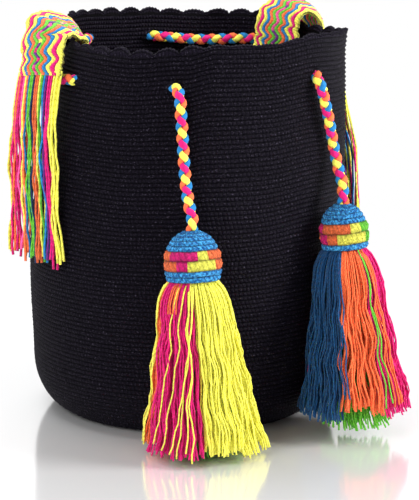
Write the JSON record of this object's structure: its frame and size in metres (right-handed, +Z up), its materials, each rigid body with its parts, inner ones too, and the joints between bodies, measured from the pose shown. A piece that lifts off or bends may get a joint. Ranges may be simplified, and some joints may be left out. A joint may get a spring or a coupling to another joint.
{
  "type": "crochet hobo bag",
  "caption": "Round crocheted bag with a flat base and scalloped edge, drawn in by a braided cord with tassels, on a woven striped shoulder strap with fringed ends.",
  "frame": {"origin": "middle of the flat base, on the surface the bag stands on", "axes": "+Z up through the bag; -Y is the front, where both tails of the drawstring hang; +X is to the right seen from the front"},
  "size_m": [0.29, 0.3118, 0.3163],
  "materials": {
    "black_crochet": "single crochet in matt black cotton",
    "woven_stripes": "woven zigzag stripes in bright yarn",
    "strap_yarn": "loose twisted yarn in the strap's colours",
    "braided_yarn": "four bright strands braided round",
    "cap_crochet": "blue crochet with blocks of bright colour",
    "yarn_green": "soft twisted yarn",
    "yarn_orange": "soft twisted yarn",
    "yarn_magenta": "soft twisted yarn",
    "yarn_yellow": "soft twisted yarn",
    "yarn_blue": "soft twisted yarn"
  },
  "bodies": {
    "root": {"bag_body": "black_crochet", "shoulder_strap": "woven_stripes", "strap_fringe_left": "strap_yarn", "strap_fringe_right": "strap_yarn", "drawstring": "braided_yarn", "tassel_left_cap": "cap_crochet", "tassel_left_knot": "braided_yarn", "tassel_left_yarn_green": "yarn_green", "tassel_left_yarn_orange": "yarn_orange", "tassel_left_yarn_magenta": "yarn_magenta", "tassel_right_cap": "cap_crochet", "tassel_right_knot": "braided_yarn", "tassel_right_yarn_green": "yarn_green", "tassel_right_yarn_orange": "yarn_orange", "tassel_right_yarn_magenta": "yarn_magenta", "tassel_left_yarn_yellow": "yarn_yellow", "tassel_right_yarn_blue": "yarn_blue"}
  },
  "joints": []
}
